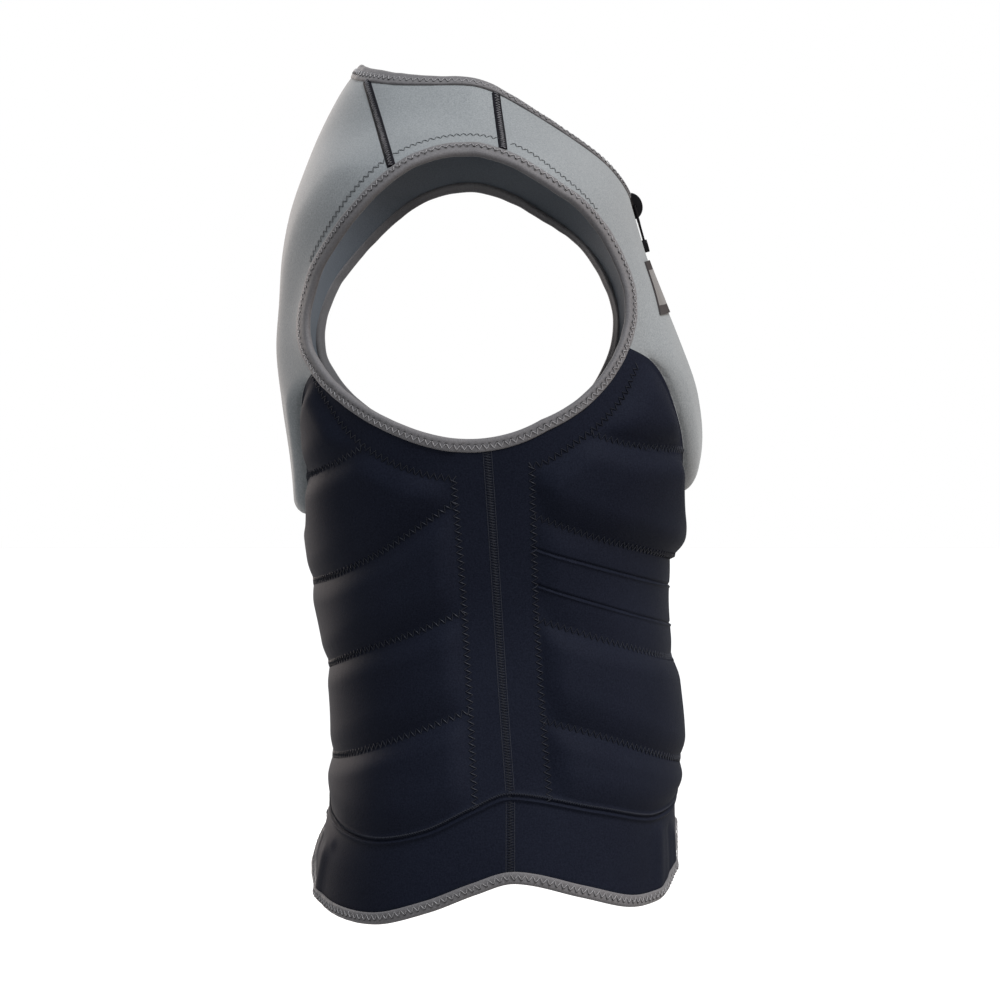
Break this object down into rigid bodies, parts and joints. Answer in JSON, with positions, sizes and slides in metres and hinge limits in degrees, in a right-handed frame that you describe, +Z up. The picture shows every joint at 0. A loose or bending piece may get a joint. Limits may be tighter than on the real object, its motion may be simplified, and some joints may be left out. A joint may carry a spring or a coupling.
{
  "type": "impact vest",
  "caption": "Sleeveless padded water-sports vest with a front zip, raised chest and back pads, quilted lower panels, a plain waist band and bound edges.",
  "frame": {"origin": "on the mid-plane inside the neck opening, at the height of the shoulder line, where the wearer's shoulders carry the vest", "axes": "+Z up the wearer's trunk, -Y out of the chest, +X to the wearer's left"},
  "size_m": [0.3388, 0.294, 0.5854],
  "materials": {
    "grey_cloth": "matte knit over foam",
    "black_cloth": "matte knit over foam",
    "binding": "ribbed stretch binding",
    "seam_tape": "woven tape",
    "patch": "bare satin rubber",
    "zip_tape": "woven tape",
    "zip_teeth": "moulded",
    "zip_metal": "gloss black"
  },
  "bodies": {
    "vest": {"back_upper": "grey_cloth", "chest_right": "grey_cloth", "chest_left": "grey_cloth", "shoulder_right": "grey_cloth", "shoulder_left": "grey_cloth", "back_lower": "black_cloth", "front_lower_right": "black_cloth", "front_lower_left": "black_cloth", "band_back": "black_cloth", "band_front_right": "black_cloth", "band_front_left": "black_cloth", "neck_binding": "binding", "hem_binding": "binding", "arm_binding_right": "binding", "arm_binding_left": "binding", "shoulder_tape_front_right": "seam_tape", "shoulder_tape_front_left": "seam_tape", "shoulder_tape_back_right": "seam_tape", "shoulder_tape_back_left": "seam_tape", "chest_patch": "patch", "zip_tape_right": "zip_tape", "zip_tape_left": "zip_tape", "zip_chain": "zip_teeth", "zip_slider": "zip_metal"},
    "zip_pull": {"zip_pull": "zip_metal"}
  },
  "joints": [
    {"name": "pull_hinge", "type": "hinge", "parent": "vest", "child": "zip_pull", "pos_m": [0, -0.10117, -0.06438], "axis": [-1, 0, 0], "range_deg": [0, 150]}
  ]
}
